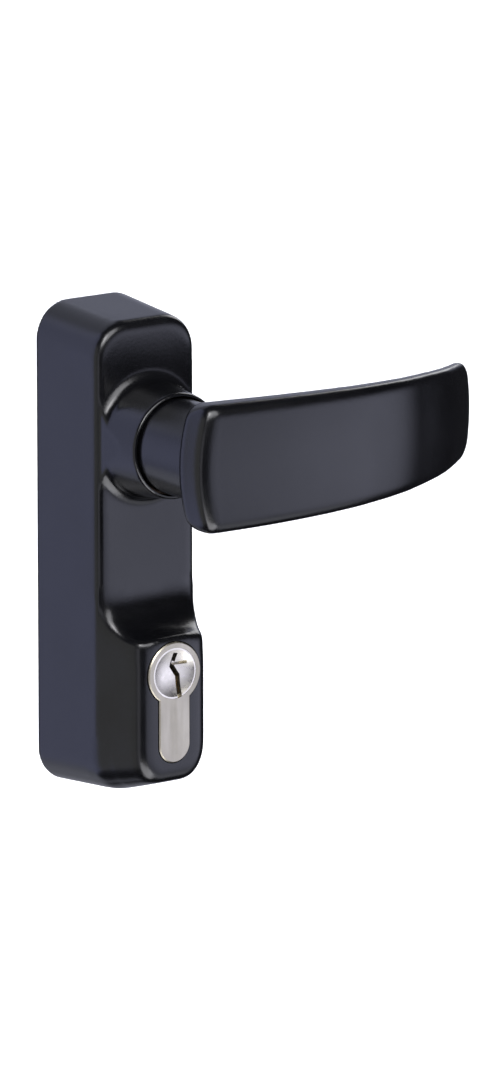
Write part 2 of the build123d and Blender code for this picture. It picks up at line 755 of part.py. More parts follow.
# The cylinder's body is one bar of euro outline, cut away above its tail for the cam.
flange_back = cylinder_face_depth - plug_face_sink - plug_flange_thickness
with BuildPart() as cylinder_body:
    with BuildSketch(door_plane(cam_gap_front)):
        euro_outline()
    extrude(amount=cylinder_face_depth - cam_gap_front)
    face_rim = cylinder_body.faces().sort_by(Axis.Y)[0].edges()
    chamfer(face_rim, cylinder_face_chamfer)
    with BuildSketch(door_plane(cylinder_back)):
        euro_outline()
    extrude(amount=cam_gap_back - cylinder_back)
    with BuildSketch(door_plane(cam_gap_back)):
        euro_outline()
        with Locations((0, -cylinder_drop - bridge_top + euro_height / 2)):
            Rectangle(euro_height, euro_height, mode=Mode.SUBTRACT)
    extrude(amount=cam_gap_front - cam_gap_back)
    with BuildSketch(door_plane(flange_back - seat_gap)):
        with Locations((0, -cylinder_drop)):
            Circle(plug_flange_radius + running_gap)
    extrude(amount=2 * plug_flange_thickness, mode=Mode.SUBTRACT)
    with BuildSketch(door_plane(cam_gap_front)):
        with Locations((0, -cylinder_drop)):
            Circle(plug_radius + running_gap)
    extrude(amount=cylinder_face_depth, mode=Mode.SUBTRACT)
    with BuildSketch(door_plane(cylinder_back)):
        with Locations((0, -cylinder_drop)):
            Circle(plug_tail_radius + running_gap)
    extrude(amount=cam_gap_back, mode=Mode.SUBTRACT)
    with BuildSketch(Plane.XY.offset(-cylinder_drop - euro_height)):
        with Locations(*[(0, -depth) for depth in chamber_depths]):
            Circle(chamber_radius)
    extrude(amount=euro_height - plug_radius * cos(asin(chamber_radius / plug_radius)), mode=Mode.SUBTRACT)
    with BuildSketch(Plane.YZ):
        with Locations((-cylinder_screw_depth, -cylinder_drop - cylinder_screw_drop)):
            Circle(cylinder_screw_radius + seat_gap)
    extrude(amount=euro_tail_width, both=True, mode=Mode.SUBTRACT)
cylinder_body.part.label = "cylinder_body"
export_step(cylinder_body.part, "parts/cylinder_body.step")


def tail_outline(gap=0.0):
    """The plug's tail: a circle with two flats, as is the hole through the cam."""
    with Locations((0, -cylinder_drop)):
        Circle(plug_tail_radius + gap)
        Rectangle(2 * (plug_tail_half_flat + gap), euro_height, mode=Mode.INTERSECT)


# The plug turns in the body. Its face is dished, its keyway is a zigzag slot with a
# short arm to the right that is only as deep as the face's dish needs.
keyway_bends = (
    (keyway_top_shift, keyway_top),
    (keyway_upper_shift, keyway_upper_bend),
    (keyway_lower_shift, -keyway_lower_bend),
    (keyway_lower_shift, -keyway_foot))
with BuildPart() as cylinder_plug:
    with BuildSketch(door_plane(plug_back)):
        with Locations((0, -cylinder_drop)):
            Circle(plug_radius)
    extrude(amount=flange_back - plug_back)
    with BuildSketch(door_plane(flange_back)):
        with Locations((0, -cylinder_drop)):
            Circle(plug_flange_radius)
    extrude(amount=plug_flange_thickness)
    dish_centre = flange_back + plug_flange_thickness - plug_face_dish + plug_dish_radius
    with Locations((0, -dish_centre, -cylinder_drop)):
        Sphere(plug_dish_radius, mode=Mode.SUBTRACT)
    with BuildSketch(door_plane(plug_tail_end)):
        tail_outline()
    extrude(amount=plug_back - plug_tail_end)
    with BuildSketch(door_plane(plug_clip_back - seat_gap)):
        with Locations((0, -cylinder_drop)):
            Circle(plug_flange_radius)
            Circle(plug_clip_groove_radius, mode=Mode.SUBTRACT)
    extrude(amount=plug_clip_thickness + 2 * seat_gap, mode=Mode.SUBTRACT)
    with BuildSketch(door_plane(keyway_back)):
        with BuildLine():
            Polyline(*[(x, z - cylinder_drop) for x, z in keyway_bends])
        trace(line_width=keyway_width)
    extrude(amount=cylinder_face_depth, mode=Mode.SUBTRACT)
    with BuildSketch(door_plane(cylinder_face_depth - keyway_arm_depth)):
        with Locations((keyway_arm_reach / 2, keyway_arm_rise - cylinder_drop)):
            Rectangle(keyway_arm_reach, keyway_arm_width)
    extrude(amount=keyway_arm_depth, mode=Mode.SUBTRACT)
    with BuildSketch(Plane.XY.offset(-cylinder_drop - euro_head_radius)):
        with Locations(*[(0, -depth) for depth in chamber_depths]):
            Circle(chamber_radius)
    extrude(amount=euro_head_radius - chamber_radius, mode=Mode.SUBTRACT)
cylinder_plug.part.label = "cylinder_plug"
export_step(cylinder_plug.part, "parts/cylinder_plug.step")

with BuildPart() as plug_circlip:
    with BuildSketch(door_plane(plug_clip_back)):
        clip_ring(plug_clip_groove_radius + seat_gap, plug_clip_radius, clip_opening, cylinder_drop)
    extrude(amount=plug_clip_thickness)
plug_circlip.part.label = "plug_circlip"
export_step(plug_circlip.part, "parts/plug_circlip.step")

# The cam is keyed to the plug's tail and its finger stands between the slide's jaws.
with BuildPart() as cylinder_cam:
    finger_middle = at_clock(cam_start_angle, cam_tip_orbit / 2, cylinder_drop)
    with BuildSketch(door_plane(cam_gap_back + cam_side_gap)):
        with Locations((0, -cylinder_drop)):
            Circle(cam_hub_radius)
        with Locations(finger_middle):
            SlotCenterToCenter(cam_tip_orbit, 2 * cam_tip_radius, rotation=90 - cam_start_angle)
    extrude(amount=plug_back - 2 * cam_side_gap - cam_gap_back)
    with BuildSketch(door_plane(cam_gap_back)):
        tail_outline(seat_gap)
    extrude(amount=plug_back, mode=Mode.SUBTRACT)
cylinder_cam.part.label = "cylinder_cam"
export_step(cylinder_cam.part, "parts/cylinder_cam.step")

# Key pins stand in the plug and driver pins below them in the body, as with a key in.
# The springs under the drivers are plain sleeves, and small plugs close the chambers.
shear_line = -cylinder_drop - plug_radius
driver_top = shear_line - 2 * seat_gap
driver_bottom = driver_top - driver_length
chamber_foot = -cylinder_drop - euro_height + euro_head_radius + cylinder_face_chamfer
chamber_plug_top = chamber_foot + chamber_plug_length
with BuildPart() as key_pins:
    with BuildSketch(Plane.XY.offset(shear_line + key_pin_sink)):
        with Locations(*[(0, -depth) for depth in chamber_depths]):
            Circle(pin_radius)
    extrude(amount=key_pin_length)
    chamfer(key_pins.edges().filter_by(GeomType.CIRCLE), pin_chamfer)
key_pins.part.label = "key_pins"
export_step(key_pins.part, "parts/key_pins.step")

with BuildPart() as driver_pins:
    with BuildSketch(Plane.XY.offset(driver_bottom)):
        with Locations(*[(0, -depth) for depth in chamber_depths]):
            Circle(pin_radius)
    extrude(amount=driver_length)
driver_pins.part.label = "driver_pins"
export_step(driver_pins.part, "parts/driver_pins.step")

with BuildPart() as pin_springs:
    with BuildSketch(Plane.XY.offset(chamber_plug_top + seat_gap)):
        with Locations(*[(0, -depth) for depth in chamber_depths]):
            Circle(pin_radius)
            Circle(pin_radius - pin_spring_wall, mode=Mode.SUBTRACT)
    extrude(amount=driver_bottom - chamber_plug_top - 2 * seat_gap)
pin_springs.part.label = "pin_springs"
export_step(pin_springs.part, "parts/pin_springs.step")

with BuildPart() as chamber_plugs:
    with BuildSketch(Plane.XY.offset(chamber_foot)):
        with Locations(*[(0, -depth) for depth in chamber_depths]):
            Circle(chamber_radius - seat_gap)
    extrude(amount=chamber_plug_length)
chamber_plugs.part.label = "chamber_plugs"
export_step(chamber_plugs.part, "parts/chamber_plugs.step")

# The cylinder's screw passes the folded tab and threads into the bridge of the body.
with BuildPart() as cylinder_screw:
    screw_middle = (-cylinder_screw_depth, -cylinder_drop - cylinder_screw_drop)
    head_start = tab_left + plate_thickness
    with BuildSketch(Plane.YZ.offset(-euro_tail_width / 2 + 2 * cylinder_slot_gap)):
        with Locations(screw_middle):
            Circle(cylinder_screw_radius)
    extrude(amount=head_start + euro_tail_width / 2 - 2 * cylinder_slot_gap)
    with BuildSketch(Plane.YZ.offset(head_start)):
        with Locations(screw_middle):
            Circle(cylinder_screw_head_radius)
    extrude(amount=cylinder_screw_head_height)
    with BuildSketch(Plane.YZ.offset(head_start + cylinder_screw_head_height)):
        with Locations(screw_middle):
            RegularPolygon(cylinder_screw_recess, 6)
    extrude(amount=-cylinder_screw_recess, mode=Mode.SUBTRACT)
cylinder_screw.part.label = "cylinder_screw"
export_step(cylinder_screw.part, "parts/cylinder_screw.step")
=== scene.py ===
import bpy
import math
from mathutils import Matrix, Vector


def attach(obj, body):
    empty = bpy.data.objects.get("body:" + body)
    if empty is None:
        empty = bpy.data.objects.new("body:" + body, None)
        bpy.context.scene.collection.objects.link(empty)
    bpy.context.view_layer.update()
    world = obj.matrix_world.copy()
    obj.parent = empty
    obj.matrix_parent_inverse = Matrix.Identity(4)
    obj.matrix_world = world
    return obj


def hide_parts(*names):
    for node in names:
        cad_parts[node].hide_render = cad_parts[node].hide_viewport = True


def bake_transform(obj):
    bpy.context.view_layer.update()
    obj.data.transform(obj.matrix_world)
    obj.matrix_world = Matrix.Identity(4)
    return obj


# An outside lock for a fire exit door: a black cast housing with a lever handle on a boss
# and a nickel key cylinder in the block below. The scene is laid out in metres, with the
# door's face at y = 0 and the lever's axis through the origin.
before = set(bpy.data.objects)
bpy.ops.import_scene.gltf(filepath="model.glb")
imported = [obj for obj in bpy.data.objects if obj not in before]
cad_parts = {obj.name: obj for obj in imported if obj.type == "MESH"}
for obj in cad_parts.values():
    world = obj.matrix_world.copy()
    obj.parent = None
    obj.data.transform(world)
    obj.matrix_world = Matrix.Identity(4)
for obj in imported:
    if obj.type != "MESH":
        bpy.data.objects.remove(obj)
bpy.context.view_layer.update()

# Camera: a long lens from the left and a little above, far away, so that edges that are
# parallel on the lock stay parallel in the picture.
camera_data = bpy.data.cameras.new("photo_camera")
camera = bpy.data.objects.new("photo_camera", camera_data)
bpy.context.scene.collection.objects.link(camera)
bpy.context.scene.camera = camera
look_turn, look_tilt = math.radians(-36.409), math.radians(12.819)
look_back = Vector((
    math.sin(look_turn) * math.cos(look_tilt),
    -math.cos(look_turn) * math.cos(look_tilt),
    math.sin(look_tilt)))
aim = Vector((0.02435, -0.040, -0.0294))
camera_distance = 2.5
pixels_per_metre, long_side = 3747.0, 1084.0
camera_data.sensor_width = 36.0
camera_data.lens = pixels_per_metre * camera_distance * camera_data.sensor_width / long_side
camera_data.clip_end = 20.0
camera.location = aim + look_back * camera_distance
camera.rotation_euler = look_back.to_track_quat("Z", "Y").to_euler()

# Studio: a white surround for the camera, and for the light a dark tent with soft panels.
# Broad ones stand in front on the right, bluish and grey ones on the left and behind, and
# two small bright ones above and below on the left give the paint its highlights.
bpy.context.scene.view_settings.view_transform = "Standard"
world = bpy.data.worlds.new("studio")
bpy.context.scene.world = world
world.use_nodes = True
tent = world.node_tree
tent.nodes.clear()
tent_links = tent.links.new


def tent_math(operation, *values):
    """One arithmetic node on sockets or numbers."""
    node = tent.nodes.new("ShaderNodeMath")
    node.operation = operation
    for socket, value in zip(node.inputs, values):
        if isinstance(value, (int, float)):
            socket.default_value = value
        else:
            tent_links(value, socket)
    return node.outputs[0]


tent_direction = tent.nodes.new("ShaderNodeTexCoord")
tent_axes = tent.nodes.new("ShaderNodeSeparateXYZ")
tent_links(tent_direction.outputs["Generated"], tent_axes.inputs[0])
to_right, to_door, to_top = tent_axes.outputs
bearing = tent_math("ARCTAN2", to_right, tent_math("MULTIPLY", to_door, -1.0))
height = tent_math("ARCSINE", to_top)


def soft_edge(value, middle, reach, edge):
    """One within a reach of a middle, in degrees, falling to zero over a soft edge."""
    step = tent.nodes.new("ShaderNodeMapRange")
    step.interpolation_type = "SMOOTHSTEP"
    away = tent_math("ABSOLUTE", tent_math("SUBTRACT", value, math.radians(middle)))
    tent_links(away, step.inputs["Value"])
    for name, number in (
            ("From Min", math.radians(reach + edge)), ("From Max", math.radians(reach)),
            ("To Min", 0.0), ("To Max", 1.0)):
        step.inputs[name].default_value = number
    return step.outputs["Result"]


def panel(left, right, low, high, side_edge, end_edge, colour):
    """A soft panel between two bearings and two heights in degrees, as a colour to add."""
    across = soft_edge(bearing, (left + right) / 2, (right - left) / 2, side_edge)
    upright = soft_edge(height, (low + high) / 2, (high - low) / 2, end_edge)
    glow = tent.nodes.new("ShaderNodeVectorMath")
    glow.operation = "SCALE"
    glow.inputs[0].default_value = colour
    tent_links(tent_math("MULTIPLY", across, upright), glow.inputs["Scale"])
    return glow.outputs[0]


def brighter(first, second):
    """Adds two panels of light."""
    total = tent.nodes.new("ShaderNodeVectorMath")
    total.operation = "ADD"
    tent_links(first, total.inputs[0])
    tent_links(second, total.inputs[1])
    return total.outputs[0]


# Each panel: its left and right bearing, its lower and upper height, the softness of its
# sides and ends, all in degrees, and its colour. Bearing 0 is straight out from the door.
tent_dimness = (0.025, 0.025, 0.03)
light = panel(-180, 180, -90, 90, 1, 1, tent_dimness)
for glow in (
        panel(14, 56, -13, -11, 22, 27, (1.10, 1.13, 1.44)),
        panel(5, 56, -52, -38, 20, 12, (1.00, 1.02, 1.15)),
        panel(42, 62, -13, -11, 22, 28, (0.42, 0.43, 0.54)),
        panel(-144, -117, -42, 44, 12, 10, (0.76, 0.81, 1.24)),
        panel(-106, -78, -42, 20, 12, 10, (0.56, 0.56, 0.54)),
        panel(-60, -50, -42, 4, 12, 10, (0.80, 0.80, 0.88)),
        panel(-180, -156, -66, -28, 8, 8, (0.58, 0.60, 0.72)),
        panel(112, 180, 7, 30, 8, 6, (0.40, 0.42, 0.54)),
        panel(150, 180, 28, 60, 10, 10, (0.48, 0.50, 0.62)),
        panel(-180, -150, 28, 60, 10, 10, (0.48, 0.50, 0.62)),
        panel(137, 180, -56, 4, 5, 6, (0.38, 0.39, 0.46)),
        panel(-50, 14, 24, 54, 7, 7, (5.0, 5.0, 5.2)),
        panel(-48, 12, -72, -36, 7, 7, (4.4, 4.4, 4.6))):
    light = brighter(light, glow)
tent_light = tent.nodes.new("ShaderNodeBackground")
tent_light.inputs["Strength"].default_value = 1.0
tent_links(light, tent_light.inputs["Color"])
tent_white = tent.nodes.new("ShaderNodeBackground")
tent_white.inputs["Color"].default_value = (1, 1, 1, 1)
tent_white.inputs["Strength"].default_value = 1.0
tent_path = tent.nodes.new("ShaderNodeLightPath")
tent_mix = tent.nodes.new("ShaderNodeMixShader")
tent_links(tent_path.outputs["Is Camera Ray"], tent_mix.inputs["Fac"])
tent_links(tent_light.outputs[0], tent_mix.inputs[1])
tent_links(tent_white.outputs[0], tent_mix.inputs[2])
tent_out = tent.nodes.new("ShaderNodeOutputWorld")
tent_links(tent_mix.outputs[0], tent_out.inputs["Surface"])

# Softboxes: a square one high on the left in front, and a taller one behind on the right
# that rims the lever's tip.
for name, place, size, power in (
        ("key_softbox", (-0.55, -0.75, 0.75), (0.35, 0.35), 3.0),
        ("rim_softbox", (0.75, 0.35, 0.45), (0.35, 0.5), 1.5)):
    softbox_data = bpy.data.lights.new(name, "AREA")
    softbox_data.shape = "RECTANGLE"
    softbox_data.size, softbox_data.size_y = size
    softbox_data.energy = power
    softbox = bpy.data.objects.new(name, softbox_data)
    bpy.context.scene.collection.objects.link(softbox)
    softbox.location = place
    away_from_lock = Vector(place) - Vector((0.02, -0.03, -0.03))
    softbox.rotation_euler = away_from_lock.to_track_quat("Z", "Y").to_euler()

# Floor: a pale sheet well below the lock. It takes the soft shadow and is kept out of the
# lock's own reflections.
bpy.ops.object.select_all(action="DESELECT")
bpy.ops.mesh.primitive_plane_add(size=6.0, location=(0, 0, -0.24))
floor = bpy.context.object
floor.name = "studio_floor"
floor.visible_glossy = False
floor_paint = bpy.data.materials.new("pale_floor")
floor_paint.use_nodes = True
floor_shader = floor_paint.node_tree.nodes["Principled BSDF"]
floor_shader.inputs["Base Color"].default_value = (0.9, 0.9, 0.9, 1)
floor_shader.inputs["Roughness"].default_value = 0.9
floor_shader.inputs["Emission Color"].default_value = (1, 1, 1, 1)
floor_path = floor_paint.node_tree.nodes.new("ShaderNodeLightPath")
floor_glow = floor_paint.node_tree.nodes.new("ShaderNodeMath")
floor_glow.operation = "MULTIPLY"
floor_glow.inputs[1].default_value = 0.7
floor_paint.node_tree.links.new(floor_path.outputs["Is Camera Ray"], floor_glow.inputs[0])
floor_paint.node_tree.links.new(floor_glow.outputs[0], floor_shader.inputs["Emission Strength"])
floor.data.materials.append(floor_paint)

# Housing: one zinc casting, a drafted case with a deeper block at its lower end and a
# flared boss for the lever, hollow from behind. Its edges were softened by tumbling before
# the black satin paint: the solids are melted into one skin, and its edges smoothed.


def satin_black(name, grain_scale):
    """Black satin paint on a casting: a faint orange peel, fine dust and uneven sheen."""
    paint = bpy.data.materials.new(name)
    paint.use_nodes = True
    tree = paint.node_tree
    shader = tree.nodes["Principled BSDF"]
    place = tree.nodes.new("ShaderNodeTexCoord")
    peel = tree.nodes.new("ShaderNodeTexNoise")
    peel.inputs["Scale"].default_value = grain_scale
    peel.inputs["Detail"].default_value = 3.0
    tree.links.new(place.outputs["Object"], peel.inputs["Vector"])
    bump = tree.nodes.new("ShaderNodeBump")
    bump.inputs["Strength"].default_value = 0.12
    bump.inputs["Distance"].default_value = 0.0002
    tree.links.new(peel.outputs["Fac"], bump.inputs["Height"])
    tree.links.new(bump.outputs["Normal"], shader.inputs["Normal"])
    cloud = tree.nodes.new("ShaderNodeTexNoise")
    cloud.inputs["Scale"].default_value = 55.0
    cloud.inputs["Detail"].default_value = 4.0
    tree.links.new(place.outputs["Object"], cloud.inputs["Vector"])
    sheen = tree.nodes.new("ShaderNodeMapRange")
    for socket, number in (("From Min", 0.3), ("From Max", 0.7), ("To Min", 0.20), ("To Max", 0.27)):
        sheen.inputs[socket].default_value = number
    tree.links.new(cloud.outputs["Fac"], sheen.inputs["Value"])
    tree.links.new(sheen.outputs["Result"], shader.inputs["Roughness"])
    tint = tree.nodes.new("ShaderNodeValToRGB")
    tint.color_ramp.elements[0].position = 0.35
    tint.color_ramp.elements[0].color = (0.0026, 0.0027, 0.0034, 1)
    tint.color_ramp.elements[1].position = 0.65
    tint.color_ramp.elements[1].color = (0.0042, 0.0044, 0.0054, 1)
    tree.links.new(cloud.outputs["Fac"], tint.inputs["Fac"])
    tree.links.new(tint.outputs["Color"], shader.inputs["Base Color"])
    return paint


def select_where(test, mode="VERT"):
    """In edit mode: leaves selected only the vertices of the active mesh that pass a test."""
    bpy.ops.mesh.select_mode(type="VERT")
    bpy.ops.mesh.select_all(action="DESELECT")
    bpy.ops.object.mode_set(mode="OBJECT")
    for vertex in bpy.context.object.data.vertices:
        vertex.select = test(vertex.co)
    bpy.ops.object.mode_set(mode="EDIT")
    bpy.ops.mesh.select_mode(type=mode)


def drafted_case(name, wall, back, front, corner, rim_round):
    """A case with rounded corners that narrows towards its front, drawn in by a wall."""
    half, top, bottom = 0.0173 - wall, 0.0343 - wall, -0.0976 + wall
    front_half, front_tall, front_middle, front_shift = 0.0160 - wall, 0.1276 - 2 * wall, -0.03165, -0.00015
    bpy.ops.object.select_all(action="DESELECT")
    bpy.ops.mesh.primitive_plane_add(
        size=1.0, location=(0, back, (top + bottom) / 2), rotation=(math.pi / 2, 0, 0))
    case = bpy.context.object
    case.name = name
    case.scale = (2 * half, top - bottom, 1)
    bpy.ops.object.transform_apply(location=True, rotation=True, scale=True)
    bpy.ops.object.mode_set(mode="EDIT")
    bpy.ops.mesh.select_all(action="SELECT")
    bpy.ops.mesh.bevel(offset=corner, segments=14, affect="VERTICES")
    bpy.ops.mesh.select_all(action="SELECT")
    bpy.ops.mesh.extrude_region_move(TRANSFORM_OT_translate={"value": (0, front - back, 0)})
    bpy.ops.transform.resize(
        value=(front_half / half, 1, front_tall / (top - bottom)),
        center_override=(0, front, front_middle))
    bpy.ops.transform.translate(value=(0, 0, front_shift))
    if rim_round:
        select_where(lambda co: co.y < front + 1e-6, "EDGE")
        bpy.ops.mesh.bevel(offset=rim_round, segments=6)
    bpy.ops.mesh.select_all(action="SELECT")
    bpy.ops.mesh.normals_make_consistent(inside=False)
    bpy.ops.object.mode_set(mode="OBJECT")
    return case


def drafted_block(name, wall, back, front, rim_round):
    """The block for the cylinder: three sloped sides under a top that the scoop cuts."""
    half, top, bottom = 0.0162 - wall, -0.0409 - wall, -0.0958 + wall
    front_half, front_bottom, corner = 0.0105 - wall, -0.0916 + wall, 0.010 - wall
    bpy.ops.object.select_all(action="DESELECT")
    bpy.ops.mesh.primitive_plane_add(
        size=1.0, location=(0, back, (top + bottom) / 2), rotation=(math.pi / 2, 0, 0))
    block = bpy.context.object
    block.name = name
    block.scale = (2 * half, top - bottom, 1)
    bpy.ops.object.transform_apply(location=True, rotation=True, scale=True)
    bpy.ops.object.mode_set(mode="EDIT")
    select_where(lambda co: co.z < top - 1e-4)
    bpy.ops.mesh.bevel(offset=corner, segments=14, affect="VERTICES")
    bpy.ops.mesh.select_all(action="SELECT")
    bpy.ops.mesh.extrude_region_move(TRANSFORM_OT_translate={"value": (0, front - back, 0)})
    bpy.ops.transform.resize(
        value=(front_half / half, 1, (top - front_bottom) / (top - bottom)),
        center_override=(0, front, top))
    if rim_round:
        select_where(lambda co: co.y < front + 1e-6, "EDGE")
        bpy.ops.mesh.bevel(offset=rim_round, segments=6)
    bpy.ops.mesh.select_all(action="SELECT")
    bpy.ops.mesh.normals_make_consistent(inside=False)
    bpy.ops.object.mode_set(mode="OBJECT")
    return block


def turned(name, profile, segments=96):
    """A turned solid on the lever's axis, extruded ring by ring from (radius, depth) pairs."""
    bpy.ops.object.select_all(action="DESELECT")
    first_radius, first_depth = profile[0]
    bpy.ops.mesh.primitive_circle_add(
        vertices=segments, radius=first_radius, fill_type="NGON",
        location=(0, -first_depth, 0), rotation=(math.pi / 2, 0, 0))
    solid = bpy.context.object
    solid.name = name
    bpy.ops.object.transform_apply(location=True, rotation=True, scale=True)
    bpy.ops.object.mode_set(mode="EDIT")
    bpy.ops.mesh.select_all(action="SELECT")
    for (radius, depth), (next_radius, next_depth) in zip(profile, profile[1:]):
        bpy.ops.mesh.extrude_region_move(TRANSFORM_OT_translate={"value": (0, depth - next_depth, 0)})
        ratio = next_radius / radius
        bpy.ops.transform.resize(value=(ratio, 1, ratio), center_override=(0, -next_depth, 0))
    bpy.ops.mesh.select_all(action="SELECT")
    bpy.ops.mesh.normals_make_consistent(inside=False)
    bpy.ops.object.mode_set(mode="OBJECT")
    return solid


def carve(solid, cutter, operation="DIFFERENCE"):
    """Cuts one solid with another, which is then removed."""
    cut = solid.modifiers.new("cut", "BOOLEAN")
    cut.operation = operation
    cut.object = cutter
    cut.solver = "EXACT"
    bpy.context.view_layer.objects.active = solid
    bpy.ops.object.modifier_apply(modifier=cut.name)
    bpy.data.objects.remove(cutter)


def scoop_out(block, wall):
    """Cuts the hollow sweep in the block's top, which runs from the case's front to its face."""
    across, tall = 0.0096 + wall, 0.0111 + wall
    bpy.ops.object.select_all(action="DESELECT")
    bpy.ops.mesh.primitive_cylinder_add(
        vertices=128, radius=across, depth=0.05, location=(0, -0.0366, -0.0409), rotation=(0, math.pi / 2, 0))
    sweep = bpy.context.object
    sweep.scale = (tall / across, 1, 1)
    bpy.ops.object.transform_apply(location=False, rotation=True, scale=True)
    carve(block, sweep)
    carve(block, cutting_bar(0.05, (0.0366, -0.052 - wall), (0.045, -0.030)))


def cutting_bar(width, low, high):
    """A plain bar from one depth and height to another, for cutting."""
    bpy.ops.object.select_all(action="DESELECT")
    centre = (0, -(low[0] + high[0]) / 2, (low[1] + high[1]) / 2)
    bpy.ops.mesh.primitive_cube_add(size=1.0, location=centre)
    bar = bpy.context.object
    bar.scale = (width, high[0] - low[0], high[1] - low[1])
    bpy.ops.object.transform_apply(location=True, rotation=True, scale=True)
    return bar


def melt(pieces, voxel, smoothing):
    """Joins overlapping solids into one skin and softens its edges."""
    bpy.ops.object.select_all(action="DESELECT")
    for piece in pieces:
        piece.select_set(True)
    bpy.context.view_layer.objects.active = pieces[0]
    bpy.ops.object.join()
    skin = bpy.context.object
    wrap = skin.modifiers.new("wrap", "REMESH")
    wrap.mode = "VOXEL"
    wrap.voxel_size = voxel
    bpy.ops.object.modifier_apply(modifier=wrap.name)
    soften = skin.modifiers.new("soften", "SMOOTH")
    soften.factor = 0.5
    soften.iterations = smoothing
    bpy.ops.object.modifier_apply(modifier=soften.name)
    return skin


def smooth_where(test, rounds):
    """In edit mode: evens out the skin of the active mesh where its vertices pass a test."""
    select_where(test)
    bpy.ops.mesh.vertices_smooth(factor=0.5, repeat=rounds)


housing_case = drafted_case("housing_casting", 0.0, -0.0001, -0.027, 0.010, 0.0024)
housing_block = drafted_block("housing_block", 0.0, -0.0250, -0.0389, 0.0026)
scoop_out(housing_block, 0.0)
flare_radius, flare_round, case_front, boss_width = 0.0188, 0.0033, 0.0270, 0.0298
flare = [(flare_radius, 0.0245), (flare_radius, case_front)]
flare += [(flare_radius - flare_round * math.sin(math.radians(turn)),
           case_front + flare_round * (1 - math.cos(math.radians(turn)))) for turn in (15, 30, 45, 60, 75, 90)]
flare += [(0.0143, 0.0407), (0.0140, 0.0410)]
housing_boss = turned("housing_boss", flare)
carve(housing_boss, cutting_bar(boss_width, (0.0200, -0.03), (0.0450, 0.03)), "INTERSECT")
housing = melt([housing_case, housing_block, housing_boss], voxel=0.00046, smoothing=6)
bpy.context.view_layer.objects.active = housing
bpy.ops.object.mode_set(mode="EDIT")
# The case's rim, the block's edges and its foot in turn, and last the ends of the scoop's
# edges, in three shrinking rings so that no step shows.
smooth_where(lambda co: co.y < -0.021 and abs(co.z) > 0.0190, 10)
smooth_where(lambda co: co.y < -0.0255 and co.z < -0.040, 14)
smooth_where(lambda co: -0.0300 < co.y < -0.0215 and co.z < -0.0800, 25)
for inward in (0.0, 0.0012, 0.0024):
    smooth_where(
        lambda co: co.y < -0.0262 and abs(co.x) > 0.0050 + inward
        and -0.0602 + inward < co.z < -0.0385 - inward, 20)
bpy.ops.object.mode_set(mode="OBJECT")
carve(housing, drafted_case("housing_hollow", 0.0025, 0.001, -0.0245, 0.0075, 0.0))
block_hollow = drafted_block("block_hollow", 0.0025, -0.0225, -0.0364, 0.0)
scoop_out(block_hollow, 0.0025)
carve(housing, block_hollow)
carve(housing, turned("bush_seat", [(0.0135, 0.0278), (0.0135, 0.045)]))
carve(housing, turned("journal_hole", [(0.0115, 0.020), (0.0115, 0.030)]))
head_height, tail_height, head_radius, tail_radius = -0.0621, -0.0816, 0.00875, 0.00525
for facets, radius, height in ((96, head_radius, head_height), (64, tail_radius, tail_height)):
    bpy.ops.object.select_all(action="DESELECT")
    bpy.ops.mesh.primitive_cylinder_add(
        vertices=facets, radius=radius, depth=0.04, location=(0, -0.0245, height), rotation=(math.pi / 2, 0, 0))
    carve(housing, bpy.context.object)
carve(housing, cutting_bar(2 * tail_radius, (0.0045, tail_height), (0.0445, head_height)))
bpy.ops.object.select_all(action="DESELECT")
housing.select_set(True)
bpy.context.view_layer.objects.active = housing
bpy.ops.object.shade_smooth_by_angle(angle=math.radians(40))
housing.name = "housing_casting"
housing.data.materials.clear()
housing.data.materials.append(satin_black("housing_paint", 1400.0))
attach(housing, "housing")
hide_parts("housing")

# Lever handle: one casting, a curved paddle that thins towards its tip, on a round neck,
# in the housing's paint. A flat bar with rolled edges is shaped in a lattice and bent
# along a curve, then melted onto the turned neck.


def roll_edges(piece, test, offset, segments):
    """In edit mode: bevels the edges of a piece whose two ends pass a test."""
    bpy.ops.mesh.select_mode(type="EDGE")
    bpy.ops.mesh.select_all(action="DESELECT")
    bpy.ops.object.mode_set(mode="OBJECT")
    for edge in piece.data.edges:
        edge.select = test(*[piece.data.vertices[index].co for index in edge.vertices])
    bpy.ops.object.mode_set(mode="EDIT")
    bpy.ops.mesh.bevel(offset=offset, segments=segments)


bpy.ops.object.select_all(action="DESELECT")
paddle_length, paddle_thick, paddle_tall = 0.1173, 0.0090, 0.0342
bpy.ops.mesh.primitive_cube_add(size=1.0, location=(paddle_length / 2, paddle_thick / 2, 0))
paddle = bpy.context.object
paddle.name = "lever_casting"
paddle.scale = (paddle_length, paddle_thick, paddle_tall)
bpy.ops.object.transform_apply(location=True, rotation=True, scale=True)
bpy.ops.object.mode_set(mode="EDIT")
for end, corner in ((0.0, 0.0040), (paddle_length, 0.0062)):
    roll_edges(
        paddle, lambda one, two: max(abs(one.x - end), abs(two.x - end), abs(one.z - two.z)) < 1e-5, corner, 10)
for face_depth, roll in ((paddle_thick, 0.0013), (0.0, 0.0030)):
    roll_edges(paddle, lambda one, two: max(abs(one.y - face_depth), abs(two.y - face_depth)) < 1e-5, roll, 6)
bpy.ops.object.mode_set(mode="OBJECT")
fine = paddle.modifiers.new("fine", "REMESH")
fine.mode = "VOXEL"
fine.voxel_size = 0.0006
bpy.ops.object.modifier_apply(modifier=fine.name)

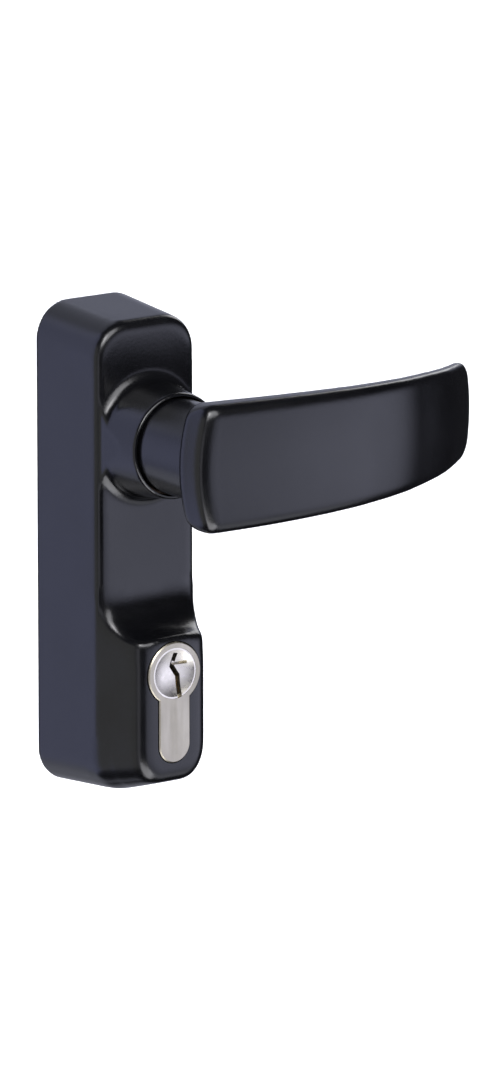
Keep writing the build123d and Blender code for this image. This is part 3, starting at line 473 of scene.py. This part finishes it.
# The cage works in mm from the paddle's left end. Towards the tip the bar gets lower and
# thinner. Both ends are arched, the face is crowned, and its left end rolls off in a circle.
bpy.ops.object.select_all(action="DESELECT")
bpy.ops.object.add(type="LATTICE", location=(paddle_length / 2, paddle_thick / 2, 0))
cage = bpy.context.object
cage_thick = 0.0094
cage.scale = (paddle_length * 1.002, cage_thick, 0.0346)
cage.data.points_u, cage.data.points_v, cage.data.points_w = 64, 2, 41
cage.data.interpolation_type_u = "KEY_CATMULL_ROM"
cage.data.interpolation_type_v = cage.data.interpolation_type_w = "KEY_LINEAR"
bar_long, bar_half, bar_thick = paddle_length * 1000, paddle_tall * 500, paddle_thick * 1000
left_arch, right_arch, arch_reach, crown_rise, roll_radius, lowered = 3.5, 1.6, 30.0, 0.75, 6.0, 0.010
for point in cage.data.points:
    along = (point.co.x + 0.5) * bar_long
    height = (17.35 - 0.006 * along - 0.00027 * along * along) / bar_half
    thickness = (8.63 - 0.046 * along) / bar_thick
    from_centre = 2 * point.co.z
    arch = left_arch * from_centre * from_centre * max(0.0, 1 - along / arch_reach)
    tip_arch = right_arch * from_centre * from_centre * max(0.0, 1 - (bar_long - along) / arch_reach)
    end_roll = roll_radius - math.sqrt(roll_radius ** 2 - max(0.0, roll_radius - along) ** 2)
    crown = crown_rise * from_centre * from_centre + end_roll if point.co.y < 0 else 0.0
    point.co_deform = (
        point.co.x + (arch - tip_arch) / bar_long,
        (point.co.y + 0.5) * thickness - 0.5 + crown / (cage_thick * 1000),
        point.co.z * height - lowered)
bend = paddle.modifiers.new("shape", "LATTICE")
bend.object = cage
bpy.context.view_layer.objects.active = paddle
bpy.ops.object.modifier_apply(modifier=bend.name)
bpy.data.objects.remove(cage)

bpy.ops.object.select_all(action="DESELECT")
bpy.ops.curve.primitive_bezier_curve_add(location=(0, 0, 0))
sweep_line = bpy.context.object
sweep_line.data.dimensions = "2D"
sweep_line.data.resolution_u = 48
bpy.ops.object.mode_set(mode="EDIT")
bpy.ops.curve.select_all(action="SELECT")
bpy.ops.curve.subdivide(number_cuts=5)
bpy.ops.object.mode_set(mode="OBJECT")
# Along the paddle's face: how far out from the lever's axis, how far from the door, in mm,
# and the heading towards the door in degrees. Each handle is a third of its span long.
face_line = (
    (-16.1, 70.66, -4.7), (3.9, 72.01, -2.5), (23.9, 72.06, 2.7), (43.8, 69.96, 11.4),
    (63.0, 64.66, 23.4), (80.8, 55.76, 35.0), (94.6, 45.16, 41.0))
spans = (20.0, 20.0, 20.0, 20.0, 20.0, 18.0)
for index, (point, (x, depth, heading)) in enumerate(zip(sweep_line.data.splines[0].bezier_points, face_line)):
    point.handle_left_type = point.handle_right_type = "FREE"
    before = spans[max(index - 1, 0)] / 3000
    after = spans[min(index, 5)] / 3000
    course = Vector((math.cos(math.radians(heading)), math.sin(math.radians(heading)), 0))
    knot = Vector((x / 1000, -depth / 1000, 0))
    point.co, point.handle_left, point.handle_right = knot, knot - course * before, knot + course * after
follow = paddle.modifiers.new("follow", "CURVE")
follow.object = sweep_line
follow.deform_axis = "POS_X"
bpy.context.view_layer.objects.active = paddle
bpy.ops.object.modifier_apply(modifier=follow.name)
bpy.data.objects.remove(sweep_line)

neck = turned("lever_neck", [
    (0.0127, 0.0387), (0.0129, 0.0390), (0.0129, 0.0600), (0.0131, 0.0609), (0.0136, 0.0618),
    (0.0146, 0.0625), (0.0150, 0.0640), (0.0150, 0.0660)])
lever = melt([paddle, neck], voxel=0.00042, smoothing=5)
bpy.ops.object.select_all(action="DESELECT")
lever.select_set(True)
bpy.context.view_layer.objects.active = lever
bpy.ops.object.shade_smooth()
lever.name = "lever_casting"
lever.data.materials.clear()
lever.data.materials.append(satin_black("lever_paint", 1400.0))
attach(lever, "lever")
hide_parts("lever_handle")

# Lever tail: the machined journal and square tenon behind the neck, left bare. A square
# socket in its end takes the door's spindle.
tail = turned("lever_tail", [(0.0095, 0.0232), (0.0095, 0.0392)], 64)
bpy.ops.object.select_all(action="DESELECT")
bpy.ops.mesh.primitive_cube_add(size=1.0, location=(0, -0.0122, 0))
tenon = bpy.context.object
tenon.scale = (0.013, 0.0232, 0.013)
bpy.ops.object.transform_apply(location=True, rotation=True, scale=True)
carve(tenon, turned("tenon_round", [(0.0086, 0.0), (0.0086, 0.03)], 64), "INTERSECT")
carve(tail, tenon, "UNION")
bpy.ops.object.select_all(action="DESELECT")
bpy.ops.mesh.primitive_cube_add(size=1.0, location=(0, -0.0058, 0))
socket = bpy.context.object
socket.scale = (0.0082, 0.0136, 0.0082)
bpy.ops.object.transform_apply(location=True, rotation=True, scale=True)
carve(tail, socket)
bpy.ops.object.select_all(action="DESELECT")
tail.select_set(True)
bpy.context.view_layer.objects.active = tail
bpy.ops.object.shade_smooth_by_angle(angle=math.radians(30))


def plated(name, colour, rough, streak_axis):
    """Plated metal with faint lines along or round it and a little uneven tarnish."""
    metal = bpy.data.materials.new(name)
    metal.use_nodes = True
    tree = metal.node_tree
    shader = tree.nodes["Principled BSDF"]
    shader.inputs["Metallic"].default_value = 1.0
    place = tree.nodes.new("ShaderNodeTexCoord")
    stretch = tree.nodes.new("ShaderNodeMapping")
    stretch.inputs["Scale"].default_value = streak_axis
    tree.links.new(place.outputs["Object"], stretch.inputs["Vector"])
    lines = tree.nodes.new("ShaderNodeTexNoise")
    lines.inputs["Scale"].default_value = 900.0
    lines.inputs["Detail"].default_value = 4.0
    tree.links.new(stretch.outputs["Vector"], lines.inputs["Vector"])
    blot = tree.nodes.new("ShaderNodeTexNoise")
    blot.inputs["Scale"].default_value = 130.0
    blot.inputs["Detail"].default_value = 5.0
    tree.links.new(place.outputs["Object"], blot.inputs["Vector"])
    tint = tree.nodes.new("ShaderNodeValToRGB")
    tint.color_ramp.elements[0].position = 0.3
    tint.color_ramp.elements[0].color = (*[c * 0.82 for c in colour], 1)
    tint.color_ramp.elements[1].position = 0.7
    tint.color_ramp.elements[1].color = (*colour, 1)
    tree.links.new(blot.outputs["Fac"], tint.inputs["Fac"])
    tree.links.new(tint.outputs["Color"], shader.inputs["Base Color"])
    gloss = tree.nodes.new("ShaderNodeMapRange")
    for socket_name, number in (
            ("From Min", 0.3), ("From Max", 0.7), ("To Min", rough * 0.8), ("To Max", rough * 1.2)):
        gloss.inputs[socket_name].default_value = number
    tree.links.new(lines.outputs["Fac"], gloss.inputs["Value"])
    tree.links.new(gloss.outputs["Result"], shader.inputs["Roughness"])
    bump = tree.nodes.new("ShaderNodeBump")
    bump.inputs["Strength"].default_value = 0.10
    bump.inputs["Distance"].default_value = 0.0001
    tree.links.new(lines.outputs["Fac"], bump.inputs["Height"])
    tree.links.new(bump.outputs["Normal"], shader.inputs["Normal"])
    return metal


tail.data.materials.clear()
tail.data.materials.append(plated("machined_zinc", (0.45, 0.46, 0.47), 0.35, (1, 6, 1)))
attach(tail, "lever")

# Key cylinder: a brass bar of euro outline with satin nickel plate, and a polished plug
# with a dished face in a thin raised ring.
satin_nickel = plated("satin_nickel", (0.50, 0.465, 0.375), 0.40, (1, 1, 0.08))
polished_nickel = plated("polished_nickel", (0.78, 0.74, 0.65), 0.30, (1, 1, 1))
for node, metal in (
        ("cylinder_body", satin_nickel), ("cylinder_plug", polished_nickel), ("cylinder_cam", satin_nickel)):
    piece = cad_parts[node]
    piece.data.materials.clear()
    piece.data.materials.append(metal)

# Inner works: zinc plated pressings and turned parts, rings and pins of oiled spring steel,
# a bronze bush and brass pins. They show only from behind, through the back plate's holes,
# except the bush, which also shows in the gap round the lever's neck: its bronze is painted
# almost black, as painted shade for that gap.
zinc_plate = plated("zinc_plate", (0.62, 0.64, 0.66), 0.32, (1, 1, 1))
spring_steel = plated("spring_steel", (0.28, 0.28, 0.29), 0.28, (1, 1, 1))
# The bush's bronze is painted almost black: painted shade for the gap round the neck.
gap_shade_bronze = plated("bronze_darkened_for_gap_shade", (0.10, 0.075, 0.05), 0.55, (1, 1, 1))
turned_brass = plated("turned_brass", (0.72, 0.52, 0.22), 0.25, (6, 1, 1))
for metal, nodes in (
        (zinc_plate, ("thrust_washer", "drive_hub", "back_plate", "fixing_pillars", "plate_screws",
                      "slide_guide", "guide_rivets", "locking_slide", "cylinder_screw")),
        (spring_steel, ("hub_circlip", "cross_pin", "stop_pins", "plug_circlip", "pin_springs")),
        (gap_shade_bronze, ("bearing_bush",)),
        (turned_brass, ("key_pins", "driver_pins", "chamber_plugs"))):
    for node in nodes:
        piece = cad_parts[node]
        piece.data.materials.clear()
        piece.data.materials.append(metal)

# Return spring: a coil of oiled steel wire round the hub, with a foot on the hub and a long
# leg on the housing, copied from the part and smoothed.
cad_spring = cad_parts["return_spring"]
spring = bpy.data.objects.new("wound_spring", cad_spring.data.copy())
bpy.context.scene.collection.objects.link(spring)
spring.matrix_world = cad_spring.matrix_world
bpy.ops.object.select_all(action="DESELECT")
spring.select_set(True)
bpy.context.view_layer.objects.active = spring
bpy.ops.object.mode_set(mode="EDIT")
bpy.ops.mesh.select_all(action="SELECT")
bpy.ops.mesh.remove_doubles(threshold=0.000001)
bpy.ops.object.mode_set(mode="OBJECT")
bpy.ops.object.shade_smooth_by_angle(angle=math.radians(40))
spring.data.materials.clear()
spring.data.materials.append(spring_steel)
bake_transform(spring)
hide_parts("return_spring")
